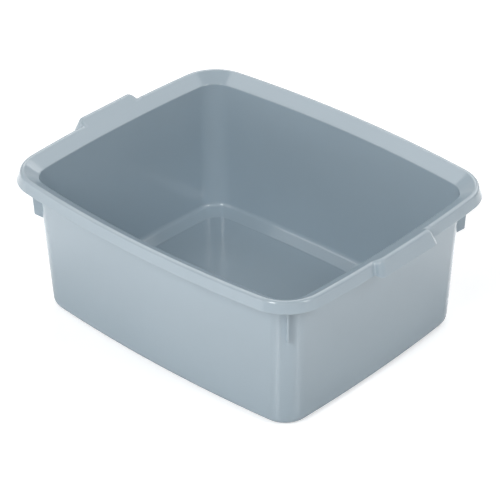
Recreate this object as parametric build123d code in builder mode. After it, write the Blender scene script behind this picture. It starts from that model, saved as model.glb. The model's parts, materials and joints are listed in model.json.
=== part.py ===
"""Rectangular washing up bowl, one plastic moulding kept as its real regions.

Frame: millimetres, +X along the long side, +Z up, origin in the middle of the foot on the ground.
The basin, the rim, the two grips and the four corner webs are separate solids that meet face to face.
"""

import os
from math import sqrt

from build123d import *

os.makedirs("parts", exist_ok=True)

# Moulding
wall = 1.6
overrun = 5.0

# Crest of the rim, the line where the lip meets the skirt
crest_length = 363.9
crest_width = 303.3
crest_height = 152.4
crest_corner_radius = 40.2
crest_long_side_bow = 12.8
crest_short_side_bow = 6.6
crest_edge_radius = 1.6

# Lip inside the crest, sloping down to the mouth, and the neck of the wall below it
lip_width = 16.4
lip_rise = 10.5
mouth_edge_radius = 1.6
under_lip_radius = 1.5
neck_height = 5.0

# Skirt outside the crest, flaring out and down to its hem
skirt_flare = 4.8
skirt_drop = 12.0

# Foot, the outline of the basin at the ground, as far inside the crest as the walls lean
foot_end_inset = 21.55
foot_side_inset = 23.25
foot_corner_radius = 25.7
foot_long_side_bow = 8.3
foot_short_side_bow = 4.6
foot_edge_radius = 9.3

# Floor: a cove at the wall, a shallow ramp down to a channel, then a raised flat panel
cove_height = 5.8
cove_radius = 4.5
panel_end_inset = 17.9
panel_side_inset = 18.9
panel_corner_radius = 17.0
panel_long_side_bow = 6.5
panel_short_side_bow = 3.6
panel_rise = 1.2
panel_edge_chamfer = 0.5
channel_width = 2.6

# Grips, one in the middle of each short side. Reaches are from the crest, lengths along the outer face.
grip_crest_reach = 6.8
grip_hem_reach = 13.05
grip_crest_length = 69.0
grip_hem_length = 78.0
grip_end_splay = 1.2
grip_corner_radius = 6.0
grip_root_radius = 1.5
grip_seam_inset = 4.5
grip_seam_margin = 2.5

# Corner webs, standing out from the wall under the rim
web_reach = 7.4
web_drop = 51.0
web_slope = 4.7
web_top_thickness = 2.6
web_bottom_thickness = 1.8


def bowed_rectangle(length, width, long_side_bow, short_side_bow, corner_radius):
    """A rectangle whose sides swell outwards as arcs, with rounded corners."""
    x, y = length / 2 - short_side_bow, width / 2 - long_side_bow
    with BuildSketch(mode=Mode.PRIVATE) as outline:
        with BuildLine():
            ThreePointArc((-x, -y), (0, -width / 2), (x, -y))
            ThreePointArc((x, -y), (length / 2, 0), (x, y))
            ThreePointArc((x, y), (0, width / 2), (-x, y))
            ThreePointArc((-x, y), (-length / 2, 0), (-x, -y))
        make_face()
        fillet(outline.vertices(), corner_radius)
    return outline.sketch


def inset(outline, distance):
    """The same outline moved inwards all round, drawn again as true arcs."""
    with BuildSketch(mode=Mode.PRIVATE) as smaller:
        add(outline)
        offset(amount=-distance)
    with BuildSketch(mode=Mode.PRIVATE) as redrawn:
        with BuildLine():
            for arc in smaller.edges():
                ThreePointArc(arc @ 0, arc @ 0.5, arc @ 1)
        make_face()
    return redrawn.sketch


def corner_at(sketch, point):
    """The corner of a section at one of its named points."""
    return sketch.vertices().sort_by_distance(Vector(*point))[0]


def front_right_corner(outline):
    """The rounded corner at +X, -Y: the four corners have the smallest radii of the outline."""
    corners = outline.edges().sort_by(SortBy.RADIUS)[:4]
    return corners.sort_by(Axis.X)[2:].sort_by(Axis.Y)[0]


crest_outline = bowed_rectangle(
    crest_length, crest_width, crest_long_side_bow, crest_short_side_bow, crest_corner_radius
)
foot_length = crest_length - 2 * foot_end_inset
foot_width = crest_width - 2 * foot_side_inset
foot_outline = bowed_rectangle(
    foot_length, foot_width, foot_long_side_bow, foot_short_side_bow, foot_corner_radius
)
panel_length = foot_length - 2 * panel_end_inset
panel_width = foot_width - 2 * panel_side_inset
panel_outline = bowed_rectangle(
    panel_length, panel_width, panel_long_side_bow, panel_short_side_bow, panel_corner_radius
)

# The wall leans out from the foot to the mouth, and the neck carries that lean up into the rim
mouth_height = crest_height - lip_rise
hem_height = crest_height - skirt_drop
seam_height = mouth_height - neck_height
wall_lean = (foot_end_inset - lip_width + wall) / mouth_height
inner_seam_inset = lip_width + neck_height * wall_lean
outer_seam_inset = inner_seam_inset - wall

with BuildPart() as basin:
    # Outside of the wall, from the foot up to the seam under the neck
    with BuildSketch():
        add(foot_outline)
    with BuildSketch(Plane.XY.offset(seam_height)):
        add(inset(crest_outline, outer_seam_inset))
    loft(ruled=True)
    fillet(basin.faces().sort_by(Axis.Z)[0].edges(), foot_edge_radius)

    # Room for water: the wall down to the cove, then the ramp down to the channel
    cove_outline = inset(foot_outline, wall)
    with BuildSketch(Plane.XY.offset(cove_height)):
        add(cove_outline)
    with BuildSketch(Plane.XY.offset(seam_height)):
        add(inset(crest_outline, inner_seam_inset))
    loft(ruled=True, mode=Mode.SUBTRACT)
    with BuildSketch(Plane.XY.offset(wall)):
        add(inset(panel_outline, -channel_width))
    with BuildSketch(Plane.XY.offset(cove_height)):
        add(cove_outline)
    loft(ruled=True, mode=Mode.SUBTRACT)
    fillet(basin.edges().filter_by_position(Axis.Z, cove_height, cove_height), cove_radius)

    # Raised panel inside the channel, hollow underneath, so that the foot is a band round it
    with BuildSketch(Plane.XY.offset(wall)):
        add(panel_outline)
    panel = extrude(amount=panel_rise)
    chamfer(panel.faces().sort_by(Axis.Z)[-1].edges(), panel_edge_chamfer)
    with BuildSketch():
        add(inset(panel_outline, wall))
    extrude(amount=panel_rise, mode=Mode.SUBTRACT)

# Corners of the rim's section, outwards and upwards from the crest
lip_slope = lip_rise / lip_width
skirt_slope = skirt_flare / skirt_drop
lip_depth = wall * sqrt(1 + lip_slope**2)
skirt_breadth = wall * sqrt(1 + skirt_slope**2)
under_crest_drop = (lip_depth + lip_slope * skirt_breadth) / (1 + lip_slope * skirt_slope)
under_mouth_inset = lip_width - wall
crest = (0, 0)
mouth = (-lip_width, -lip_rise)
hem = (skirt_flare, -skirt_drop)
under_hem = (skirt_flare - skirt_breadth, -skirt_drop)
under_crest = (skirt_slope * under_crest_drop - skirt_breadth, -under_crest_drop)
under_mouth = (-under_mouth_inset, -lip_depth - lip_slope * under_mouth_inset)
inner_neck = (-inner_seam_inset, seam_height - crest_height)
outer_neck = (-outer_seam_inset, seam_height - crest_height)

# The rim follows the crest all the way round, and the grips follow its short sides
rim_path = Plane.XY.offset(crest_height) * crest_outline.wire()
rim_section_plane = Plane(
    origin=rim_path @ 0, x_dir=(rim_path % 0).cross(Vector(0, 0, 1)), z_dir=-(rim_path % 0)
)
grip_path = rim_path.edges().sort_by(Axis.X)[-1]
grip_section_plane = Plane(origin=grip_path @ 0.5, x_dir=(1, 0, 0), z_dir=(0, -1, 0))
grip_seam = crest_length / 2 - grip_seam_inset
grip_root = grip_seam - overrun
grip_breadth = grip_seam_inset + grip_hem_reach
grip_seam_length = grip_hem_length + 2 * grip_end_splay + 2 * grip_seam_margin

with BuildPart(mode=Mode.PRIVATE) as grip_space:
    # Everything outside the seam planes belongs to the grip, not to the rim
    with BuildSketch(Plane.XY.offset(seam_height)):
        with Locations((grip_seam, 0)):
            Rectangle(grip_breadth + overrun, grip_seam_length, align=(Align.MIN, Align.CENTER))
    extrude(amount=crest_height)

with BuildPart() as rim:
    # Neck, lip and skirt, one section all the way round, broken only where the grips go
    with BuildSketch(rim_section_plane) as section:
        with BuildLine():
            Polyline(
                inner_neck, mouth, crest, hem, under_hem, under_crest, under_mouth, outer_neck, close=True
            )
        make_face()
        fillet(corner_at(section, mouth), mouth_edge_radius)
        fillet(corner_at(section, crest), crest_edge_radius)
        fillet(corner_at(section, under_mouth), under_lip_radius)
    sweep(path=rim_path)
    whole_rim = rim.part
    add([grip_space.part, mirror(grip_space.part, about=Plane.YZ)], mode=Mode.SUBTRACT)


def grip_plan(reach, length, wall_inset):
    """Plan of a grip at one height: splayed ends, and rounded corners at the outer face."""
    face = crest_length / 2 + reach - wall_inset
    half_face = length / 2 - wall_inset
    half_root = half_face + grip_end_splay * (face - grip_root) / grip_hem_reach
    with BuildSketch(mode=Mode.PRIVATE) as plan:
        with BuildLine():
            Polyline(
                (grip_root, -half_root), (face, -half_face), (face, half_face), (grip_root, half_root),
                close=True,
            )
        make_face()
        fillet(plan.vertices().group_by(Axis.X)[-1], grip_corner_radius - wall_inset)
    return plan.sketch


def grip_form(wall_inset, skirt_inset, lip_drop):
    """Grip and skirt as one filled form under the slope of the lip, or the hollow inside it."""
    filled_back = -grip_seam_inset - 2 * overrun
    back, front = filled_back - overrun, grip_hem_reach + overrun
    crest_rise = grip_crest_reach * lip_slope
    above_share = overrun / (skirt_drop + crest_rise)
    with BuildPart(mode=Mode.PRIVATE) as form:
        with BuildSketch(Plane.XY.offset(hem_height)):
            add(grip_plan(grip_hem_reach, grip_hem_length, wall_inset))
        with BuildSketch(Plane.XY.offset(crest_height + crest_rise + overrun)):
            reach_above = grip_crest_reach + above_share * (grip_crest_reach - grip_hem_reach)
            length_above = grip_crest_length + above_share * (grip_crest_length - grip_hem_length)
            add(grip_plan(reach_above, length_above, wall_inset))
        loft(ruled=True)
        with BuildSketch(grip_section_plane):
            with BuildLine():
                Polyline(
                    (filled_back, -skirt_drop), (skirt_flare - skirt_inset, -skirt_drop),
                    (-skirt_slope * overrun - skirt_inset, overrun), (filled_back, overrun), close=True,
                )
            make_face()
        sweep(path=grip_path)
        with BuildSketch(grip_section_plane):
            with BuildLine():
                Polyline(
                    (back, back * lip_slope - lip_drop), (front, front * lip_slope - lip_drop),
                    (front, -skirt_drop - overrun), (back, -skirt_drop - overrun), close=True,
                )
            make_face()
        sweep(path=grip_path, mode=Mode.INTERSECT)
        add(grip_space.part, mode=Mode.INTERSECT)
    return form.part


with BuildPart() as grip_right:
    add(grip_form(0, 0, 0))
    # The ends leave the skirt in a small inside radius, then the whole top edge is rounded like the crest
    outer_faces = grip_right.faces().sort_by(lambda face: face.normal_at().Z)
    upright = grip_right.edges() - outer_faces[0].edges() - outer_faces[-1].edges()
    fillet(upright.sort_by(Axis.X)[4:6], grip_root_radius)
    slope = grip_right.faces().sort_by(lambda face: face.normal_at().Z)[-1]
    fillet(slope.edges().sort_by(Axis.X)[3:], crest_edge_radius)
    add(grip_form(wall, skirt_breadth, lip_depth), mode=Mode.SUBTRACT)

with BuildPart() as grip_left:
    add(mirror(grip_right.part, about=Plane.YZ))

# Webs: upright plates on the diagonals of the corners, drafted thinner towards the bottom
diagonal = Vector(1, -1).normalized()
web_centre = front_right_corner(crest_outline).arc_center
foot_offset = front_right_corner(foot_outline).arc_center - web_centre
foot_corner_reach = foot_offset.dot(diagonal) + sqrt(
    foot_corner_radius**2 - foot_offset.cross(diagonal).length ** 2
)
seam_corner_reach = crest_corner_radius - outer_seam_inset
corner_lean = (seam_corner_reach - foot_corner_reach) / seam_height
web_wall_height = crest_height - web_drop - web_slope
web_tip_height = crest_height - web_drop


def wall_reach(height):
    """How far the outside of the corner stands from the middle of its curve, at a height."""
    return foot_corner_reach + corner_lean * height


def under_lip_height(reach):
    """Middle of the lip's thickness above a point on the diagonal."""
    return crest_height + lip_slope * (reach - crest_corner_radius) - lip_depth / 2


with BuildPart() as web_front_right:
    root = wall_reach(web_wall_height) - wall / 2
    root_top = wall_reach(seam_height) - wall / 2
    tip = wall_reach(web_tip_height) + web_reach
    tip_top = wall_reach(seam_height) + web_reach
    root_height = web_wall_height - wall / 2 * web_slope / web_reach
    for height, thickness in ((root_height, web_bottom_thickness), (crest_height, web_top_thickness)):
        with BuildSketch(Plane(origin=(web_centre.X, web_centre.Y, height), x_dir=diagonal)):
            with Locations((root - overrun, 0)):
                Rectangle(tip_top - root + 2 * overrun, thickness, align=(Align.MIN, Align.CENTER))
    loft(ruled=True)
    with BuildSketch(Plane(origin=web_centre, x_dir=diagonal, z_dir=diagonal.cross(Vector(0, 0, 1)))):
        with BuildLine():
            Polyline(
                (root, root_height), (tip, web_tip_height), (tip_top, under_lip_height(tip_top)),
                (root_top, under_lip_height(root_top)), close=True,
            )
        make_face()
    extrude(amount=web_top_thickness, both=True, mode=Mode.INTERSECT)
    add([basin.part, whole_rim], mode=Mode.SUBTRACT)

with BuildPart() as web_front_left:
    add(mirror(web_front_right.part, about=Plane.YZ))

with BuildPart() as web_back_right:
    add(mirror(web_front_right.part, about=Plane.XZ))

with BuildPart() as web_back_left:
    add(mirror(web_front_left.part, about=Plane.XZ))

regions = {
    "basin": basin,
    "rim": rim,
    "grip_left": grip_left,
    "grip_right": grip_right,
    "corner_web_front_left": web_front_left,
    "corner_web_front_right": web_front_right,
    "corner_web_back_left": web_back_left,
    "corner_web_back_right": web_back_right,
}
for name, region in regions.items():
    region.part.label = name
    export_step(region.part, f"parts/{name}.step")
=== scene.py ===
"""The looks of a rectangular washing up bowl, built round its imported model. Metres, +Z up."""

import json
from math import atan2, cos, degrees, pi, radians, sin, sqrt, tan

import bmesh
import bpy
from mathutils import Matrix, Vector

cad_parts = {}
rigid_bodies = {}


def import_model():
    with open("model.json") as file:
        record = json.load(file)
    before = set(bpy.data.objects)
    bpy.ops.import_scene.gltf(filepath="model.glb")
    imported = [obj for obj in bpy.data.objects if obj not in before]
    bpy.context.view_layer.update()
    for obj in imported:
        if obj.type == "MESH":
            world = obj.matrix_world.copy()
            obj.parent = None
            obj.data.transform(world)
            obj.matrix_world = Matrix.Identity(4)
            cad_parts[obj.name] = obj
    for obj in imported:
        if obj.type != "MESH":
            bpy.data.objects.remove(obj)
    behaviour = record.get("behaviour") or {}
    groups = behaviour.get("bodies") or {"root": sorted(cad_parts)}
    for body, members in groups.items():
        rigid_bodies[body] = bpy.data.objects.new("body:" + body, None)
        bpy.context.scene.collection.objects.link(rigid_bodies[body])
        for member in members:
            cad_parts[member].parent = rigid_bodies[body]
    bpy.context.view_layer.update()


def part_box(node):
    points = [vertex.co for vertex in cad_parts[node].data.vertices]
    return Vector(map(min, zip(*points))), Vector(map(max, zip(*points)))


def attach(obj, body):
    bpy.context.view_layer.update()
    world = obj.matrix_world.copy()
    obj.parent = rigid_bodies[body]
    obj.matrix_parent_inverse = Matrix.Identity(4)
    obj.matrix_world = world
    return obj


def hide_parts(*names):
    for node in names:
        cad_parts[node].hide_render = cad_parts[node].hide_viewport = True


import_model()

# Basin
# The walls, the floor and the foot: the largest part of one polypropylene moulding, 1.6 mm thick all over.
# Its walls lean out and its corners are round, so that it leaves the mould and nests in the next bowl.
WALL = 0.0016
LIP_WIDTH = 0.0164
LIP_RISE = 0.0105
SKIRT_FLARE = 0.0048
SKIRT_DROP = 0.012
GRIP_HEM_REACH = 0.01305
# Bows are those of the long and of the short sides, and insets are those at the ends and at the sides
CREST_CORNER_RADIUS = 0.0402
CREST_BOWS = (0.0128, 0.0066)
FOOT_INSETS = (0.02155, 0.02325)
FOOT_CORNER_RADIUS = 0.0257
FOOT_BOWS = (0.0083, 0.0046)
FOOT_EDGE_RADIUS = 0.0093
COVE_HEIGHT = 0.0058
COVE_RADIUS = 0.0045
PANEL_INSETS = (0.0179, 0.0189)
PANEL_CORNER_RADIUS = 0.017
PANEL_BOWS = (0.0065, 0.0036)
PANEL_RISE = 0.0012
PANEL_EDGE_RADIUS = 0.0005
CHANNEL_WIDTH = 0.0026
CHANNEL_EDGE_RADIUS = 0.003
ARC_STEPS = {"long": 14, "corner": 16, "short": 10}
RING_LIFT = 0.01
MERGE = 0.00001
# Folds are the angles, in degrees, between the faces that meet at an edge
RIGHT_ANGLE = 90
COVE_FOLD = 71
CHANNEL_FOLD = 15
FOOT_FOLD = 87
FOLD_TOLERANCE = 8
SMOOTH_ANGLE = 35
NARROW_FACE = 0.00058

seam_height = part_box("basin")[1].z
crest_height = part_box("grip_right")[0].z + SKIRT_DROP
crest_length = 2 * (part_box("grip_right")[1].x - GRIP_HEM_REACH)
crest_width = 2 * (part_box("rim")[1].y - SKIRT_FLARE)
foot_length, foot_width = crest_length - 2 * FOOT_INSETS[0], crest_width - 2 * FOOT_INSETS[1]
panel_length, panel_width = foot_length - 2 * PANEL_INSETS[0], foot_width - 2 * PANEL_INSETS[1]
mouth_height = crest_height - LIP_RISE
wall_lean = (FOOT_INSETS[0] - LIP_WIDTH + WALL) / mouth_height
inner_seam_inset = LIP_WIDTH + (mouth_height - seam_height) * wall_lean
outer_seam_inset = inner_seam_inset - WALL


def outline_arcs(length, width, bows, corner_radius):
    """Centre, turn and steps of each arc round a bowed rectangle, from the middle of its front."""
    half_x, half_y = length / 2 - bows[1], width / 2 - bows[0]
    long_radius = (half_x**2 + bows[0] ** 2) / (2 * bows[0])
    short_radius = (half_y**2 + bows[1] ** 2) / (2 * bows[1])
    front_centre = Vector((0, long_radius - width / 2))
    right_centre = Vector((length / 2 - short_radius, 0))
    between = right_centre - front_centre
    reaches = (long_radius - corner_radius, short_radius - corner_radius)
    along = (reaches[0] ** 2 - reaches[1] ** 2 + between.length_squared) / (2 * between.length)
    direction = between.normalized()
    corner = front_centre + along * direction + sqrt(reaches[0] ** 2 - along**2) * direction.orthogonal()
    long_turn = atan2(corner.x, front_centre.y - corner.y)
    short_turn = atan2(-corner.y, corner.x - right_centre.x)
    corner_turn = pi / 2 - long_turn - short_turn
    half_front = (front_centre, long_turn, ARC_STEPS["long"])
    corners = [((x * corner.x, y * corner.y), corner_turn, ARC_STEPS["corner"])
               for x, y in ((1, 1), (1, -1), (-1, -1), (-1, 1))]
    right = (right_centre, 2 * short_turn, 2 * ARC_STEPS["short"])
    back = (-front_centre, 2 * long_turn, 2 * ARC_STEPS["long"])
    left = (-right_centre, 2 * short_turn, 2 * ARC_STEPS["short"])
    return [half_front, corners[0], right, corners[1], back, corners[2], left, corners[3], half_front]


def edit_mesh():
    """The mesh that is being shaped in edit mode, with nothing selected."""
    bpy.ops.mesh.select_all(action="DESELECT")
    return bmesh.from_edit_mesh(bpy.context.edit_object.data)


def add_point(place):
    """Starts a line at a place, in a new object or in the one that is being shaped."""
    bpy.ops.mesh.primitive_plane_add(size=WALL, location=place)
    if bpy.context.mode == "OBJECT":
        bpy.ops.object.transform_apply(location=True, rotation=False, scale=False)
        bpy.ops.object.mode_set(mode="EDIT")
        bpy.ops.mesh.select_all(action="SELECT")
    bpy.ops.mesh.merge(type="CENTER")


def spin_round(arcs):
    """Spins what is selected round the arcs of an outline and closes it on its start."""
    for centre, turn, steps in arcs:
        bpy.ops.mesh.spin(steps=steps, angle=-turn, center=(*centre, 0), axis=(0, 0, 1))
    bpy.ops.mesh.select_all(action="SELECT")
    bpy.ops.mesh.remove_doubles(threshold=MERGE)


def select_open_edges(lowest, highest):
    """Selects the edges between two heights that have no face on one side or both."""
    for edge in edit_mesh().edges:
        if len(edge.link_faces) < 2 and all(lowest - MERGE < v.co.z < highest + MERGE for v in edge.verts):
            edge.select_set(True)


def select_folds(height, least, most, beyond=(0, 0)):
    """Selects the edges at a height where the faces fold by between two angles, outside a rectangle."""
    for edge in edit_mesh().edges:
        level = all(abs(v.co.z - height) < MERGE for v in edge.verts)
        outside = all(abs(v.co.x) > beyond[0] or abs(v.co.y) > beyond[1] for v in edge.verts)
        folded = len(edge.link_faces) == 2 and least < degrees(edge.calc_face_angle()) < most
        if level and outside and folded:
            edge.select_set(True)


def round_edges(radius, fold, segments):
    """Rounds the selected edges to a radius, where their faces fold by an angle."""
    bpy.ops.mesh.bevel(offset=radius * tan(radians(fold) / 2), segments=segments, affect="EDGES",
                       clamp_overlap=False)


def finish_mesh(name):
    """Turns the faces outwards, shades them smooth between the edges and marks the narrow ones there."""
    bpy.ops.mesh.select_all(action="SELECT")
    bpy.ops.mesh.normals_make_consistent(inside=False)
    bpy.ops.object.mode_set(mode="OBJECT")
    piece = bpy.context.object
    piece.name = name
    piece.data.name = name
    bpy.ops.object.select_all(action="DESELECT")
    piece.select_set(True)
    bpy.ops.object.shade_smooth_by_angle(angle=radians(SMOOTH_ANGLE))
    weighted = piece.modifiers.new("true_normals", "WEIGHTED_NORMAL")
    weighted.keep_sharp = True
    bpy.ops.object.modifier_apply(modifier=weighted.name)
    # The narrow faces, those of the roundings, are where the plastic paints its edge highlight
    edge_highlight = piece.data.attributes.get("edge_highlight") or piece.data.attributes.new("edge_highlight", "FLOAT", "FACE")
    for face in piece.data.polygons:
        ends = [piece.data.vertices[index].co for index in face.vertices]
        longest = max((end - start).length for start, end in zip(ends, ends[1:] + ends[:1]))
        edge_highlight.data[face.index].value = float(face.area < NARROW_FACE * longest)
    return piece


crest_arcs = outline_arcs(crest_length, crest_width, CREST_BOWS, CREST_CORNER_RADIUS)
foot_arcs = outline_arcs(foot_length, foot_width, FOOT_BOWS, FOOT_CORNER_RADIUS)
panel_arcs = outline_arcs(panel_length, panel_width, PANEL_BOWS, PANEL_CORNER_RADIUS)
panel_top = WALL + PANEL_RISE

# The rings of the basin, down the inside and then the outside. Each has its outline, its reach to the front,
# its height, the height of the ring that it is joined to, and whether a flat face closes it. It is a point
# at the middle of the front, spun round its outline and bridged. A bridge needs a height between two rings,
# so where they are level the new one is made above the other and let down.
bpy.ops.object.select_all(action="DESELECT")
for arcs, front, height, reach_from, close in (
    (crest_arcs, crest_width / 2 - inner_seam_inset, seam_height, None, False),
    (foot_arcs, foot_width / 2 - WALL, COVE_HEIGHT, seam_height, False),
    (panel_arcs, panel_width / 2 + CHANNEL_WIDTH, WALL, COVE_HEIGHT, False),
    (panel_arcs, panel_width / 2, WALL, WALL, False),
    (panel_arcs, panel_width / 2, panel_top, WALL, True),
    (crest_arcs, crest_width / 2 - outer_seam_inset, seam_height, seam_height, False),
    (foot_arcs, foot_width / 2, 0, seam_height, False),
    (panel_arcs, panel_width / 2 - WALL, 0, 0, False),
    (panel_arcs, panel_width / 2 - WALL, PANEL_RISE, 0, True),
):
    made_at = height + RING_LIFT if height == reach_from else height
    add_point((0, -front, made_at))
    spin_round(arcs)
    if reach_from is not None:
        select_open_edges(min(made_at, reach_from), max(made_at, reach_from))
        bpy.ops.mesh.bridge_edge_loops()
        select_open_edges(made_at, made_at)
        bpy.ops.transform.translate(value=(0, 0, height - made_at))
    if close:
        select_open_edges(height, height)
        bpy.ops.mesh.edge_face_add()

bpy.ops.mesh.select_all(action="SELECT")
bpy.ops.mesh.normals_make_consistent(inside=False)
hollow_under_panel = (panel_length / 2, panel_width / 2)
for height, radius, fold, segments, beyond in (
    (COVE_HEIGHT, COVE_RADIUS, COVE_FOLD, 9, (0, 0)),
    (WALL, CHANNEL_EDGE_RADIUS, CHANNEL_FOLD, 3, (0, 0)),
    (panel_top, PANEL_EDGE_RADIUS, RIGHT_ANGLE, 4, (0, 0)),
    (WALL, PANEL_EDGE_RADIUS, RIGHT_ANGLE, 3, (0, 0)),
    (0, FOOT_EDGE_RADIUS, FOOT_FOLD, 14, hollow_under_panel),
    (0, PANEL_EDGE_RADIUS, RIGHT_ANGLE, 3, (0, 0)),
):
    select_folds(height, fold - FOLD_TOLERANCE, fold + FOLD_TOLERANCE, beyond)
    round_edges(radius, fold, segments)
basin = finish_mesh("moulded_basin")

# Coloured polypropylene out of a polished mould: nearly even in colour, glossy, with a very fine grain from
# the steel and faint wipe marks. Its narrow rounded edges are painted paler in patches, a painted highlight
# for the light that the roundings catch. A pattern is given by its scale, its detail and, for the wipe
# marks, the way that they are drawn out.
PLASTIC_COLOURS = ((0.362, 0.445, 0.506, 1), (0.392, 0.477, 0.537, 1))
# Paler colour painted on the narrow rounded edges as a highlight, and the most of it that any patch gets
EDGE_HIGHLIGHT_COLOUR = (0.48, 0.55, 0.60, 1)
MOST_EDGE_HIGHLIGHT = 0.4
ROUGHNESS = (0.08, 0.13)
PLASTIC_IOR = 1.49
CLOUDS = (9, 3)
# The patches over which the painted edge highlight is spread
HIGHLIGHT_PATCHES = (45, 3)
WIPES = (14, 2, (1, 1, 0.3))
GRAIN = (1400, 2)
GRAIN_STRENGTH = 0.06
GRAIN_DEPTH = 0.0002
FULL_NOISE = (0.1, 0.9)
MIDDLE_NOISE = (0.2, 0.8)

plastic = bpy.data.materials.new("bowl_plastic")
plastic.use_nodes = True
nodes, links = plastic.node_tree.nodes, plastic.node_tree.links
surface = nodes["Principled BSDF"]
surface.inputs["IOR"].default_value = PLASTIC_IOR
where = nodes.new("ShaderNodeTexCoord")


def noise(scale, detail, stretch=(1, 1, 1)):
    """Output of a noise by its scale and detail, drawn out along an axis where its stretch is small."""
    mapping = nodes.new("ShaderNodeMapping")
    mapping.inputs["Scale"].default_value = stretch
    pattern = nodes.new("ShaderNodeTexNoise")
    pattern.inputs["Scale"].default_value = scale
    pattern.inputs["Detail"].default_value = detail
    links.new(where.outputs["Object"], mapping.inputs["Vector"])
    links.new(mapping.outputs["Vector"], pattern.inputs["Vector"])
    return pattern.outputs["Fac"]


def spread(value, least, most, low, high):
    """Output of a value between two limits spread over another range."""
    ranged = nodes.new("ShaderNodeMapRange")
    for socket, number in (("From Min", least), ("From Max", most), ("To Min", low), ("To Max", high)):
        ranged.inputs[socket].default_value = number
    links.new(value, ranged.inputs["Value"])
    return ranged.outputs["Result"]


def blend(factor, first, second):
    """Output of a mix from one colour, or the output of one, to a plain colour."""
    mix = nodes.new("ShaderNodeMix")
    mix.data_type = "RGBA"
    links.new(factor, mix.inputs["Factor"])
    if isinstance(first, tuple):
        mix.inputs["A"].default_value = first
    else:
        links.new(first, mix.inputs["A"])
    mix.inputs["B"].default_value = second
    return mix.outputs["Result"]


clouds = spread(noise(*CLOUDS), *FULL_NOISE, 0, 1)
# Painted highlight: the narrow faces of the rounded edges are painted paler, in patches
edge = nodes.new("ShaderNodeAttribute")
edge.attribute_name = "edge_highlight"
highlight_share = nodes.new("ShaderNodeMath")
highlight_share.operation = "MULTIPLY"
links.new(edge.outputs["Fac"], highlight_share.inputs[0])
links.new(spread(noise(*HIGHLIGHT_PATCHES), *MIDDLE_NOISE, 0, MOST_EDGE_HIGHLIGHT), highlight_share.inputs[1])
coloured = blend(highlight_share.outputs[0], blend(clouds, *PLASTIC_COLOURS), EDGE_HIGHLIGHT_COLOUR)
links.new(coloured, surface.inputs["Base Color"])
wiped = spread(noise(*WIPES), *FULL_NOISE, *ROUGHNESS)
links.new(wiped, surface.inputs["Roughness"])
grain = nodes.new("ShaderNodeBump")
grain.inputs["Strength"].default_value = GRAIN_STRENGTH
grain.inputs["Distance"].default_value = GRAIN_DEPTH
links.new(noise(*GRAIN), grain.inputs["Height"])
links.new(grain.outputs["Normal"], surface.inputs["Normal"])
basin.data.materials.append(plastic)
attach(basin, "root")
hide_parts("basin")

# Rim
# The lip that flares up from the mouth of the basin and the skirt that turns down outside it, in the same
# plastic and the same moulding. One section runs all the way round and is broken only where the grips go.
MOUTH_EDGE_RADIUS = 0.0016
CREST_EDGE_RADIUS = 0.0034
UNDER_LIP_RADIUS = 0.0015
UNDER_CREST_RADIUS = 0.0018
# At the outer and at the inner edge of the hem
HEM_EDGE_RADII = (0.0005, 0.0004)
GAP_REACH = 0.1

lip_slope = LIP_RISE / LIP_WIDTH
skirt_slope = SKIRT_FLARE / SKIRT_DROP
lip_depth = WALL * sqrt(1 + lip_slope**2)
skirt_breadth = WALL * sqrt(1 + skirt_slope**2)
under_crest_drop = (lip_depth + lip_slope * skirt_breadth) / (1 + lip_slope * skirt_slope)
grip_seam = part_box("grip_right")[0].x
grip_half_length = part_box("grip_right")[1].y


def draw_line(places):
    """Draws a line through places, in a new object or in the one that is being shaped, and selects it."""
    add_point(places[0])
    for start, end in zip(places, places[1:]):
        bpy.ops.mesh.extrude_vertices_move(TRANSFORM_OT_translate={"value": end - start})
    bpy.ops.mesh.select_linked()


def round_corner(place, radius, segments):
    """Rounds the corner of a line at a place."""
    for corner in edit_mesh().verts:
        if (corner.co - place).length < MERGE:
            corner.select_set(True)
            arms = [edge.other_vert(corner).co - corner.co for edge in corner.link_edges]
            inside = arms[0].angle(arms[1])
    bpy.ops.mesh.bevel(offset=radius / tan(inside / 2), segments=segments, affect="VERTICES",
                       clamp_overlap=False)


# Corners of the section, outwards and upwards from the crest, with the radius and steps of their rounding
section = (
    (-inner_seam_inset, seam_height - crest_height, 0, 0),
    (-LIP_WIDTH, -LIP_RISE, MOUTH_EDGE_RADIUS, 6),
    (0, 0, CREST_EDGE_RADIUS, 12),
    (SKIRT_FLARE, -SKIRT_DROP, HEM_EDGE_RADII[0], 3),
    (SKIRT_FLARE - skirt_breadth, -SKIRT_DROP, HEM_EDGE_RADII[1], 3),
    (skirt_slope * under_crest_drop - skirt_breadth, -under_crest_drop, UNDER_CREST_RADIUS, 4),
    (WALL - LIP_WIDTH, -lip_depth - lip_slope * (LIP_WIDTH - WALL), UNDER_LIP_RADIUS, 6),
    (-outer_seam_inset, seam_height - crest_height, 0, 0),
)
corners = [Vector((0, -crest_width / 2 - out, crest_height + up)) for out, up, _, _ in section]
bpy.ops.object.select_all(action="DESELECT")
draw_line(corners + corners[:1])
bpy.ops.mesh.remove_doubles(threshold=MERGE)
for corner, (_, _, radius, steps) in zip(corners, section):
    if radius:
        round_corner(corner, radius, steps)
bpy.ops.mesh.select_all(action="SELECT")
spin_round(crest_arcs)
bpy.ops.object.mode_set(mode="OBJECT")
rim = bpy.context.object
for side in (1, -1):
    bpy.ops.object.select_all(action="DESELECT")
    bpy.ops.mesh.primitive_cube_add(size=1, location=(side * (grip_seam + GAP_REACH / 2), 0, crest_height),
                                    scale=(GAP_REACH, 2 * grip_half_length, GAP_REACH))
    gap = bpy.context.object
    bpy.context.view_layer.objects.active = rim
    cut = rim.modifiers.new("gap_for_grip", "BOOLEAN")
    cut.operation = "DIFFERENCE"
    cut.object = gap
    bpy.ops.object.modifier_apply(modifier=cut.name)
    bpy.data.objects.remove(gap)
bpy.ops.object.mode_set(mode="EDIT")
rim = finish_mesh("moulded_rim")
rim.data.materials.append(plastic)
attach(rim, "root")
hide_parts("rim")

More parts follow.
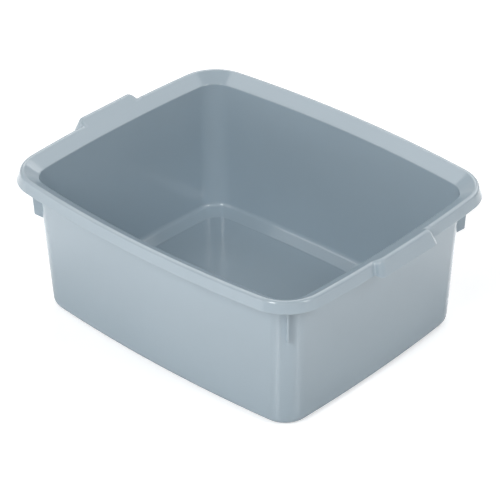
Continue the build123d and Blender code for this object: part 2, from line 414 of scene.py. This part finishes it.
# Grips
# The raised lug in the middle of each short side, moulded with the rim: the lip runs on outwards and the
# skirt steps out with it round two splayed ends, which leaves a hollow underneath for the fingers.
GRIP_CREST_REACH = 0.0068
GRIP_CREST_LENGTH = 0.069
GRIP_HEM_LENGTH = 0.078
GRIP_END_SPLAY = 0.0012
GRIP_CORNER_RADIUS = 0.006
GRIP_ROOT_RADIUS = 0.0015
# The sheet's reach to each side of the middle, in two steps, and inwards from the crest, and the share of
# its skirt by which it runs on below the hem
SHEET_ENDS = (0.052, 0.046)
SHEET_BACK = 0.06
SHEET_BELOW = 0.15
# Which place of half a row is the root of the splayed end, and which is its corner
ROOT, CORNER = 2, 3
GRIP_CREST_FOLD = 101
# The least, the usual and the greatest fold at the outer and at the inner edge of the hem
HEM_FOLDS = ((95, 111, 125), (55, 69, 85))
SHARP_TURN = 60
SLOPE_TOLERANCE = WALL / 16

short_centre = crest_arcs[2][0]
short_radius = crest_length / 2 - short_centre.x
hem_height = crest_height - SKIRT_DROP
skirt_share = SKIRT_DROP / (SKIRT_DROP + GRIP_CREST_REACH * lip_slope)
crest_share = 1 - skirt_share
level_reach = GRIP_CREST_REACH + crest_share * (GRIP_HEM_REACH - GRIP_CREST_REACH)
level_half = (GRIP_CREST_LENGTH + crest_share * (GRIP_HEM_LENGTH - GRIP_CREST_LENGTH)) / 2
end_slope = GRIP_END_SPLAY / GRIP_HEM_REACH
crest_root = level_half + end_slope * level_reach
hem_root = GRIP_HEM_LENGTH / 2 + end_slope * (GRIP_HEM_REACH - SKIRT_FLARE)


def lip_height(place):
    """Height of the slope of the lip over a place by the right short side."""
    return crest_height + lip_slope * ((place.xy - short_centre).length - short_radius)


def grip_row(skirt_out, root, reach, half_face):
    """Places along one level of the sheet: skirt, root, corner, face, corner, root and skirt."""
    skirt = [Vector((short_centre.x + sqrt((short_radius + skirt_out) ** 2 - y**2), y, 0))
             for y in (*SHEET_ENDS, root)]
    face = [Vector((crest_length / 2 + reach, y, 0)) for y in (half_face, half_face / 2)]
    half = skirt + face
    middle = Vector((crest_length / 2 + reach, 0, 0))
    return [place * Vector((1, -1, 1)) for place in half] + [middle] + half[::-1]


def select_crest(drop):
    """Selects the edges where the slope of the lip, or the same slope a drop below it, turns down."""
    for edge in edit_mesh().edges:
        on_slope = all(abs(v.co.z + drop - lip_height(v.co)) < SLOPE_TOLERANCE for v in edge.verts)
        inside = all(v.co.x > grip_seam - WALL and abs(v.co.y) < SHEET_ENDS[0] - MERGE for v in edge.verts)
        turned = len(edge.link_faces) == 2 and degrees(edge.calc_face_angle()) > SHARP_TURN
        if on_slope and inside and turned:
            edge.select_set(True)


# The grip starts as a sheet that runs on past its hem and its seams. It is given its thickness and then cut
# off at them.
crest_row = grip_row(0, crest_root, GRIP_CREST_REACH, GRIP_CREST_LENGTH / 2)
hem_row = grip_row(SKIRT_FLARE, hem_root, GRIP_HEM_REACH, GRIP_HEM_LENGTH / 2)
for place in crest_row:
    place.z = lip_height(place)
for place in hem_row:
    place.z = hem_height
low_row = [hem + SHEET_BELOW * (hem - crest) for crest, hem in zip(crest_row, hem_row)]
bpy.ops.object.select_all(action="DESELECT")
for row in (crest_row, low_row):
    draw_line(row)
    for turn, radius, steps in ((ROOT, GRIP_ROOT_RADIUS, 5), (CORNER, GRIP_CORNER_RADIUS, 12)):
        round_corner(row[turn], radius, steps)
        round_corner(row[-1 - turn], radius, steps)
bpy.ops.mesh.select_all(action="SELECT")
bpy.ops.mesh.bridge_edge_loops()
select_open_edges(crest_height, 2 * crest_height)
bpy.ops.mesh.extrude_edges_move()
back = Vector((crest_length / 2 - SHEET_BACK, 0, 0))
bpy.ops.transform.resize(value=(0, 1, 0), center_override=(back.x, 0, lip_height(back)))
bpy.ops.mesh.select_all(action="SELECT")
bpy.ops.mesh.normals_make_consistent(inside=False)
bpy.ops.object.mode_set(mode="OBJECT")
grip_right = bpy.context.object
thick = grip_right.modifiers.new("wall", "SOLIDIFY")
thick.thickness = WALL
thick.offset = -1
thick.use_even_offset = True
bpy.ops.object.modifier_apply(modifier=thick.name)
bpy.ops.object.mode_set(mode="EDIT")
select_crest(0)
round_edges(CREST_EDGE_RADIUS, GRIP_CREST_FOLD, 12)
select_crest(lip_depth)
round_edges(UNDER_CREST_RADIUS, GRIP_CREST_FOLD, 4)
bpy.ops.mesh.select_all(action="SELECT")
bpy.ops.mesh.bisect(plane_co=(0, 0, hem_height), plane_no=(0, 0, -1), use_fill=True, clear_outer=True)
for (least, fold, most), radius in zip(HEM_FOLDS, HEM_EDGE_RADII):
    select_folds(hem_height, least, most)
    round_edges(radius, fold, 3)
for place, outwards in (
    ((0, grip_half_length, 0), (0, 1, 0)),
    ((0, -grip_half_length, 0), (0, -1, 0)),
    ((grip_seam, 0, 0), (-1, 0, 0)),
):
    bpy.ops.mesh.select_all(action="SELECT")
    bpy.ops.mesh.bisect(plane_co=place, plane_no=outwards, use_fill=True, clear_outer=True)
grip_right = finish_mesh("moulded_grip_right")
grip_right.data.materials.append(plastic)
bpy.ops.object.select_all(action="DESELECT")
grip_right.select_set(True)
bpy.ops.object.duplicate()
bpy.context.view_layer.objects.active = bpy.context.selected_objects[0]
bpy.ops.object.mode_set(mode="EDIT")
bpy.ops.mesh.select_all(action="SELECT")
bpy.ops.transform.resize(value=(-1, 1, 1), center_override=(0, 0, 0))
grip_left = finish_mesh("moulded_grip_left")
for piece, node in ((grip_right, "grip_right"), (grip_left, "grip_left")):
    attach(piece, "root")
    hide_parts(node)

# Corner webs
# An upright plate under the rim at each corner, of the same plastic and moulded with the wall and the lip
# that it braces. It is drafted thinner towards the bottom, to leave the mould.
# Out from the wall, down from the crest to the foot of the outer edge, and on down from there to the wall
WEB_REACH = 0.0074
WEB_DROP = 0.051
WEB_SLOPE = 0.0047
# At the bottom and at the lip
WEB_THICKNESS = (0.0018, 0.0026)
WEB_EDGE_RADIUS = 0.0005

web_centre = Vector(crest_arcs[1][0])
foot_offset = Vector(foot_arcs[1][0]) - web_centre
diagonal = Vector((1, -1)).normalized()
off_diagonal = foot_offset.cross(diagonal)
foot_corner_reach = foot_offset.dot(diagonal) + sqrt(FOOT_CORNER_RADIUS**2 - off_diagonal**2)
corner_lean = (CREST_CORNER_RADIUS - outer_seam_inset - foot_corner_reach) / seam_height


def web_place(height, reach):
    """A place on the web's side before its turn to its corner, a reach out from the outside of the wall."""
    return Vector((foot_corner_reach + corner_lean * height + reach, -WEB_THICKNESS[0] / 2, height))


def under_lip(out):
    """Height of the middle of the lip's thickness, a distance out from the middle of the corner."""
    return crest_height + lip_slope * (out - CREST_CORNER_RADIUS) - lip_depth / 2


web_foot = crest_height - WEB_DROP - WEB_SLOPE * (1 + WALL / 2 / WEB_REACH)
web_side = [
    web_place(web_foot, -WALL / 2),
    web_place(crest_height - WEB_DROP, WEB_REACH),
    web_place(seam_height, WEB_REACH),
    web_place(seam_height, -WALL / 2),
]
web_side[2].z = under_lip(web_side[2].x)
web_side[3].z = under_lip(web_side[3].x)
for node, turn, x, y in (
    ("corner_web_front_right", -45, 1, 1),
    ("corner_web_back_right", 45, 1, -1),
    ("corner_web_front_left", -135, -1, 1),
    ("corner_web_back_left", 135, -1, -1),
):
    bpy.ops.object.select_all(action="DESELECT")
    draw_line(web_side)
    bpy.ops.mesh.edge_face_add()
    bpy.ops.mesh.extrude_region_move(TRANSFORM_OT_translate={"value": (0, WEB_THICKNESS[0], 0)})
    for corner in edit_mesh().verts:
        corner.select_set(corner.co.z > seam_height - WEB_DROP / 2)
    bpy.ops.transform.resize(value=(1, WEB_THICKNESS[1] / WEB_THICKNESS[0], 1), center_override=(0, 0, 0))
    bpy.ops.mesh.select_all(action="SELECT")
    bpy.ops.mesh.normals_make_consistent(inside=False)
    for edge in edit_mesh().edges:
        upright = all(corner.co.x > web_side[1].x - MERGE for corner in edge.verts)
        below = all(corner.co.z < web_side[1].z + MERGE for corner in edge.verts)
        if upright or below:
            edge.select_set(True)
    bpy.ops.mesh.bevel(offset=WEB_EDGE_RADIUS, segments=3, affect="EDGES")
    bpy.ops.mesh.select_all(action="SELECT")
    # With no window, rotate turns the other way
    bpy.ops.transform.rotate(value=-radians(turn), orient_axis="Z", center_override=(0, 0, 0))
    bpy.ops.transform.translate(value=(x * web_centre.x, y * web_centre.y, 0))
    web = finish_mesh("moulded_" + node)
    web.data.materials.append(plastic)
    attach(web, "root")
    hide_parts(node)

# Camera
# The view of the photograph, from high at the front right corner through a long lens. The turn is from the
# front, the rise is above the table and the roll is about the line of sight, all in degrees.
CAMERA_PLACE = (1.2263, -1.3399, 1.2383)
CAMERA_TURN = 42.42
CAMERA_RISE = 32.778
CAMERA_ROLL = -0.398
CAMERA_LENS = 164.26
SENSOR_WIDTH = 36
FARTHEST_SEEN = 50

camera_data = bpy.data.cameras.new("camera")
camera_data.lens = CAMERA_LENS
camera_data.sensor_width = SENSOR_WIDTH
camera_data.clip_end = FARTHEST_SEEN
camera = bpy.data.objects.new("camera", camera_data)
bpy.context.scene.collection.objects.link(camera)
view = Matrix.Translation(CAMERA_PLACE)
for turn, axis in ((CAMERA_TURN, "Z"), (RIGHT_ANGLE - CAMERA_RISE, "X"), (CAMERA_ROLL, "Z")):
    view = view @ Matrix.Rotation(radians(turn), 4, axis)
camera.matrix_world = view
bpy.context.scene.camera = camera

# Floor
# The studio table: glossy white board that runs out past the view. It keeps the bowl's shadow and gives the
# bowl its reflections, but is matt to the camera, which looks past its shine. It also glows, though it is no
# lamp: evenly to the camera, and more brightly in the bowl's reflections, where a painted shadow fades the
# glow to nothing towards the bowl's foot. Its two glow levels, and those of the world, are what the camera
# sees and what is seen in a reflection.
FLOOR_SIZE = 8
FLOOR_COLOUR = (0.8, 0.8, 0.8, 1)
FLOOR_ROUGHNESS = 0.24
FLOOR_IOR = 1.8
FLOOR_GLOW_LEVELS = (0.5, 1.1)
PAINTED_SHADE_REACH = 0.1

bpy.ops.object.select_all(action="DESELECT")
bpy.ops.mesh.primitive_plane_add(size=FLOOR_SIZE)
floor = bpy.context.object
floor.name = "studio_floor"
board = bpy.data.materials.new("studio_board")
board.use_nodes = True
nodes, links = board.node_tree.nodes, board.node_tree.links


def from_bowl():
    """Output of the distance from the foot of the bowl along the table."""
    place = nodes.new("ShaderNodeTexCoord").outputs["Object"]
    foot_corner = (foot_length / 2, foot_width / 2, 0)
    for operation, offset in (("ABSOLUTE", None), ("SUBTRACT", foot_corner), ("MAXIMUM", (0, 0, 0))):
        step = nodes.new("ShaderNodeVectorMath")
        step.operation = operation
        if offset:
            step.inputs[1].default_value = offset
        links.new(place, step.inputs[0])
        place = step.outputs["Vector"]
    distance = nodes.new("ShaderNodeVectorMath")
    distance.operation = "LENGTH"
    links.new(place, distance.inputs[0])
    return distance.outputs["Value"]


def seen_level(to_camera, in_reflections):
    """Output of one level for what the camera sees itself and another for what it sees in a reflection."""
    path = nodes.new("ShaderNodeLightPath")
    level = nodes.new("ShaderNodeMath")
    level.operation = "MULTIPLY"
    level.inputs[1].default_value = to_camera
    links.new(path.outputs["Is Camera Ray"], level.inputs[0])
    both = nodes.new("ShaderNodeMath")
    both.operation = "MULTIPLY_ADD"
    if isinstance(in_reflections, bpy.types.NodeSocket):
        links.new(in_reflections, both.inputs[1])
    else:
        both.inputs[1].default_value = in_reflections
    links.new(path.outputs["Is Glossy Ray"], both.inputs[0])
    links.new(level.outputs[0], both.inputs[2])
    return both.outputs[0]


glossy = nodes["Principled BSDF"]
glossy.inputs["Base Color"].default_value = FLOOR_COLOUR
glossy.inputs["Roughness"].default_value = FLOOR_ROUGHNESS
glossy.inputs["IOR"].default_value = FLOOR_IOR
matt = nodes.new("ShaderNodeBsdfDiffuse")
matt.inputs["Color"].default_value = FLOOR_COLOUR
choose = nodes.new("ShaderNodeMixShader")
links.new(seen_level(1, 0), choose.inputs["Fac"])
links.new(glossy.outputs["BSDF"], choose.inputs[1])
links.new(matt.outputs["BSDF"], choose.inputs[2])
glow = nodes.new("ShaderNodeEmission")
# Painted shadow: the glow seen in reflections grows from nothing at the bowl's foot to full at the reach
glow_with_painted_shade = spread(from_bowl(), 0, PAINTED_SHADE_REACH, 0, FLOOR_GLOW_LEVELS[1])
links.new(seen_level(FLOOR_GLOW_LEVELS[0], glow_with_painted_shade), glow.inputs["Strength"])
lifted = nodes.new("ShaderNodeAddShader")
links.new(choose.outputs[0], lifted.inputs[0])
links.new(glow.outputs["Emission"], lifted.inputs[1])
links.new(lifted.outputs[0], nodes["Material Output"].inputs["Surface"])
floor.data.materials.append(board)

# World
# The white walls and ceiling of the studio: plain white to the camera, and reflected in the bowl.
SURROUND_LEVELS = (1, 0.9)

world = bpy.data.worlds.new("studio")
bpy.context.scene.world = world
world.use_nodes = True
nodes, links = world.node_tree.nodes, world.node_tree.links
surround = nodes["Background"]
surround.inputs["Color"].default_value = (1, 1, 1, 1)
links.new(seen_level(*SURROUND_LEVELS), surround.inputs["Strength"])

# Lamps
# Two tall softboxes, one before each near side of the bowl, with long low ones that its skirt reflects and
# broad weak ones above and behind to fill in.
LAMP_DISTANCE = 2.2


def softbox(name, turn, rise, width, height, power):
    """A lamp at a turn from the front and a rise above the table, in degrees, facing the bowl."""
    turn, rise = radians(turn), radians(rise)
    target = Vector((0, 0, crest_height / 2))
    out = Vector((sin(turn) * cos(rise), -cos(turn) * cos(rise), sin(rise)))
    data = bpy.data.lights.new(name, "AREA")
    data.shape = "RECTANGLE"
    data.size = width
    data.size_y = height
    data.energy = power
    lamp = bpy.data.objects.new(name, data)
    bpy.context.scene.collection.objects.link(lamp)
    aim = (-out).to_track_quat("-Z", "Y").to_matrix().to_4x4()
    lamp.matrix_world = Matrix.Translation(target + LAMP_DISTANCE * out) @ aim


for name, turn, rise, width, height, power in (
    ("front_softbox", 12, 38, 0.4, 0.8, 20.8),
    ("right_softbox", 92, 38, 0.4, 0.8, 11.9),
    ("low_left_softbox", 326, 10, 2.6, 0.8, 12),
    ("low_front_softbox", 42, 9, 4.4, 0.25, 2.6),
    ("low_right_softbox", 114, 6, 2.6, 0.5, 3.8),
    ("high_left_softbox", 288, 53, 1.0, 1.0, 7),
    ("back_left_softbox", 222, 45, 1.0, 1.0, 10),
    ("low_back_softbox", 180, 30, 1.0, 1.0, 9),
    ("high_back_softbox", 165, 52, 1.0, 1.0, 5),
):
    softbox(name, turn, rise, width, height, power)
bpy.context.scene.view_settings.view_transform = "Standard"
